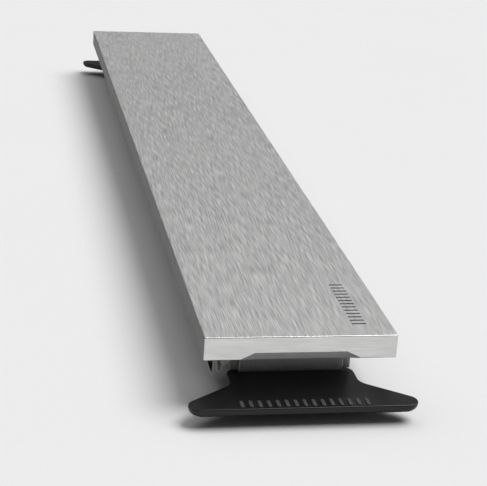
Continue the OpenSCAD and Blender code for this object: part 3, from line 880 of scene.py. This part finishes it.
def springLine(spec):
    # Down the rail's side, out past the neck and under it, up to a crest, down again and out to a free lip
    railLow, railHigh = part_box("rail")
    half = spec["thickness"] / 2
    railX, railZ, railTop = railHigh.x / mm, railLow.z / mm, railHigh.z / mm
    out = -sizeOf("front_side_spring").x + half
    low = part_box("front_side_spring")[0].z / mm + half
    side, clear = -railX - half, -railX - footSpec["neckMargin"] - half - spec["neckGap"]
    crest = (clear - spec["crestOut"], railZ + spec["crestRise"])
    trough = (clear - spec["troughOut"], low)
    lip = (-railX + out, railTop - spec["lipDrop"])
    leafEnd, shoulder, heel = railZ + spec["leafRise"], spec["shoulder"], low + spec["heelRise"]
    return [(side, railTop - spec["railWall"] - spec["leafDrop"]), (side, leafEnd),
            (side - shoulder, leafEnd - shoulder), (clear, railZ + spec["neckRise"]), (clear, heel),
            (clear - shoulder, low + spec["heelLow"]), (clear - spec["heelWidth"], heel),
            crest, (crest[0] - spec["crestFlat"], crest[1]),
            trough, (trough[0] - spec["troughFlat"], trough[1]),
            (lip[0], lip[1] - spec["lipHeight"]), lip, (lip[0] + spec["lipHook"], lip[1] + spec["lipTip"])]


def sideSpring(spec):
    bm = bmesh.new()
    line = [bm.verts.new((x, 0, z)) for x, z in springLine(spec)]
    for first, second in zip(line, line[1:]):
        bm.edges.new((first, second))
    mesh = meshOf(bm)
    return grown(mesh, bentStrip, {"Bend Radius": spec["bend"], "Thickness": spec["thickness"],
                                   "Width": sizeOf("front_side_spring").y, "Finish": rolledSpringSteel})


for end in ends:
    turned = Matrix.Identity(4) if end == "front" else halfTurn
    node = end + "_side_spring"
    strip = sideSpring(springSpec)
    # The strip's cut edges, which face along Y, take the painted highlight.
    for face in strip.polygons:
        face.material_index = 1 if abs(face.normal.y) > 0.9 else 0
    keep(visualName(node), strip, Matrix.Translation((0, middleOf(node).y, 0)) @ turned, node,
         [rolledSpringSteel, springEdgeHighlight])
    node = end + "_spring_rivets"
    low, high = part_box(node)
    size = sizeOf(node)
    step = size.y - rivetSpec["head"]
    z = (low.z + high.z) / 2 / mm
    lying = rivet(rivetSpec, size.x)
    bmesh.ops.rotate(lying, verts=lying.verts[:], matrix=Matrix.Rotation(math.pi / 2, 3, "Y"))
    row = rowOf(meshOf(lying), 2, (0, -step / 2, 0), (0, step, 0), turnedStainless)
    headX = low.x if end == "front" else high.x
    keep(visualName(node), row, Matrix.Translation((headX, middleOf(node).y, z * mm)) @ turned, node)
print("side springs done")

# Floor, light and camera

studioSpec = {"floorSize": 8.0, "roomLevel": 0.1, "lightBankLevel": 1.8, "bankFrom": 30, "bankFull": 46,
              "bankWidth": (-0.1, 0.7), "sunStrength": 2.45, "sunAngle": 42, "sunFrom": (0.54, 0.06, 1.0)}
cameraSpec = {"place": (-82.3, -497.2, 168.0), "yaw": 11.35, "pitch": 20.26, "roll": 3.81, "lens": 107.7,
              "sensor": 36.0, "nearest": 0.01, "farthest": 50.0}


def studio(spec):
    bm = bmesh.new()
    bmesh.ops.create_grid(bm, x_segments=1, y_segments=1, size=spec["floorSize"] / 2)
    floor = shown("studioFloor", meshOf(bm))
    # Matt paper that takes a soft shadow and no gloss
    paint = finish("paleFloor", {
        "dark": "#E4E4E4", "light": "#E6E6E6", "rough": (0.9, 1.0), "bump": 0.0, "grain": (2.0, 2.0, 2.0),
        "drift": (60.0, 60.0, 60.0), "shader": {"Specular IOR Level": 0.0}})
    floor.data.materials.append(paint)
    world = bpy.data.worlds.new("studioAir")
    bpy.context.scene.world = world
    world.use_nodes = True
    world.node_tree.nodes.clear()
    tree = world.node_tree
    # A dim room with a bank of lights high up behind the object: black faces stay black and the bar is lit
    towards = addNode(tree, "ShaderNodeTexCoord").outputs["Object"]
    axes = addNode(tree, "ShaderNodeSeparateXYZ", links={0: towards}).outputs
    rise = addNode(tree, "ShaderNodeMapRange", {
        "interpolation_type": "SMOOTHSTEP", "From Min": math.sin(math.radians(spec["bankFrom"])),
        "From Max": math.sin(math.radians(spec["bankFull"]))}, {"Value": axes["Z"]}).outputs["Result"]
    side, back = spec["bankWidth"]
    behind = addNode(tree, "ShaderNodeMapRange", {
        "interpolation_type": "SMOOTHSTEP", "From Min": side, "From Max": back},
        {"Value": axes["Y"]}).outputs["Result"]
    bank = addNode(tree, "ShaderNodeMath", {"operation": "MULTIPLY"}, {0: rise, 1: behind}).outputs[0]
    level = addNode(tree, "ShaderNodeMapRange", {
        "To Min": spec["roomLevel"], "To Max": spec["lightBankLevel"]}, {"Value": bank}).outputs["Result"]
    air = addNode(tree, "ShaderNodeBackground", {"Color": linear("#FFFFFF")}, {"Strength": level})
    addNode(tree, "ShaderNodeOutputWorld", links={"Surface": air.outputs[0]})
    sun = bpy.data.lights.new("softKey", "SUN")
    sun.energy = spec["sunStrength"]
    sun.angle = math.radians(spec["sunAngle"])
    lamp = bpy.data.objects.new("softKey", sun)
    lamp.rotation_euler = Vector(spec["sunFrom"]).to_track_quat("Z", "Y").to_euler()
    bpy.context.scene.collection.objects.link(lamp)


def camera(spec):
    yaw, pitch, roll = (math.radians(spec[key]) for key in ("yaw", "pitch", "roll"))
    ahead = Vector((math.sin(yaw) * math.cos(pitch), math.cos(yaw) * math.cos(pitch), -math.sin(pitch)))
    level = Vector((math.cos(yaw), -math.sin(yaw), 0))
    upright = level.cross(ahead)
    right = math.cos(roll) * level + math.sin(roll) * upright
    up = math.cos(roll) * upright - math.sin(roll) * level
    lens = bpy.data.cameras.new("view")
    lens.lens, lens.sensor_width = spec["lens"], spec["sensor"]
    lens.clip_start, lens.clip_end = spec["nearest"], spec["farthest"]
    eye = bpy.data.objects.new("view", lens)
    turn = Matrix((right, up, -ahead)).transposed().to_4x4()
    eye.matrix_world = Matrix.Translation(Vector(spec["place"]) * mm) @ turn
    bpy.context.scene.collection.objects.link(eye)
    bpy.context.scene.camera = eye


studio(studioSpec)
camera(cameraSpec)
bpy.context.scene.view_settings.view_transform = "Standard"
print("stage, light and camera done")
